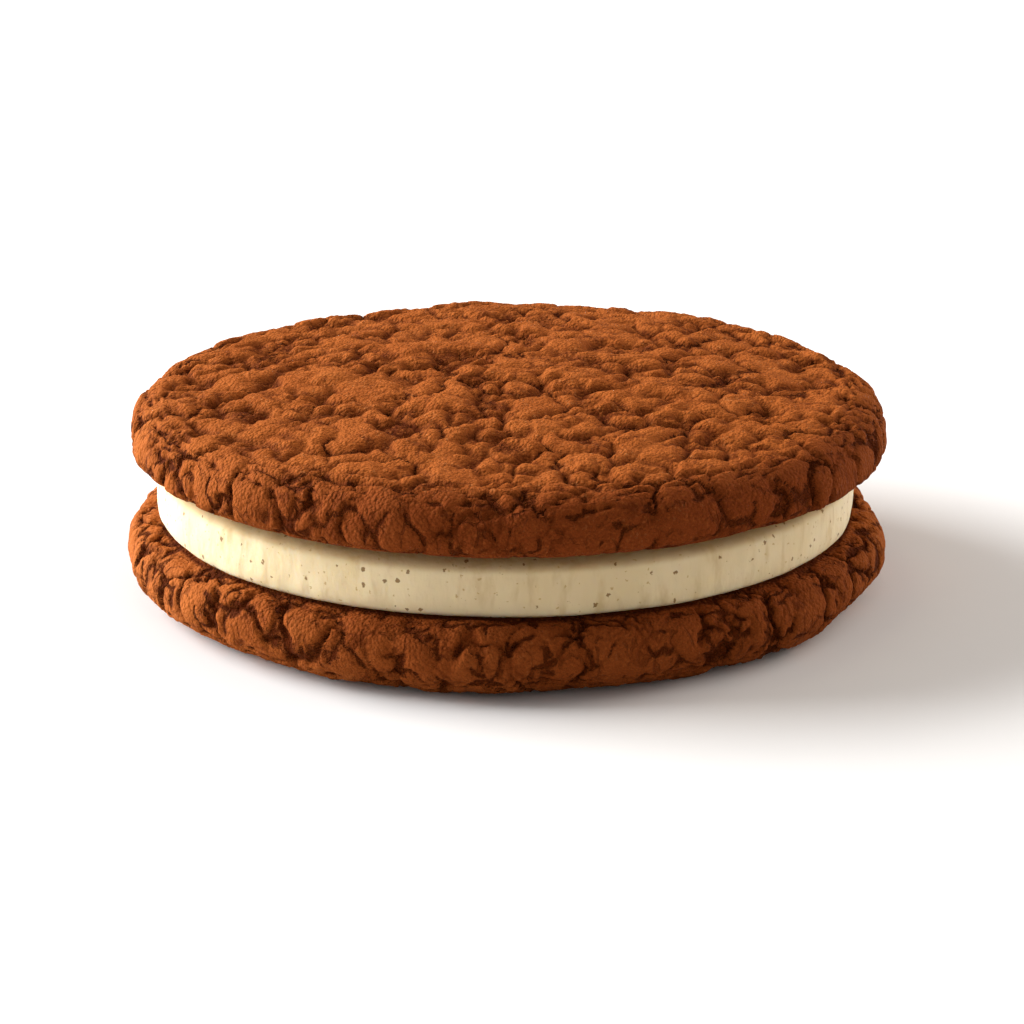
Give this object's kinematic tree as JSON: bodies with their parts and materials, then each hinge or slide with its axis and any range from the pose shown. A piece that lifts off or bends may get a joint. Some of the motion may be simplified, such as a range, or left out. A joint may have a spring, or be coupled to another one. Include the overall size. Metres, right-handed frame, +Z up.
{
  "type": "spice sandwich cookie",
  "caption": "Round sandwich cookie: two crackled soft-baked cookies with a thick round of cream between their flat sides.",
  "frame": {"origin": "middle of the flat spot under the bottom cookie, on the table", "axes": "+Z up through the stack, from the bottom cookie through the cream to the top cookie; +X to the right and -Y to the front as shown"},
  "size_m": [0.0763, 0.0763, 0.0214],
  "materials": {
    "bottom_crust": "matte",
    "cream": "satin",
    "top_crust": "matte"
  },
  "bodies": {
    "root": {"bottom_cookie": "bottom_crust", "cream": "cream", "top_cookie": "top_crust"}
  },
  "joints": []
}
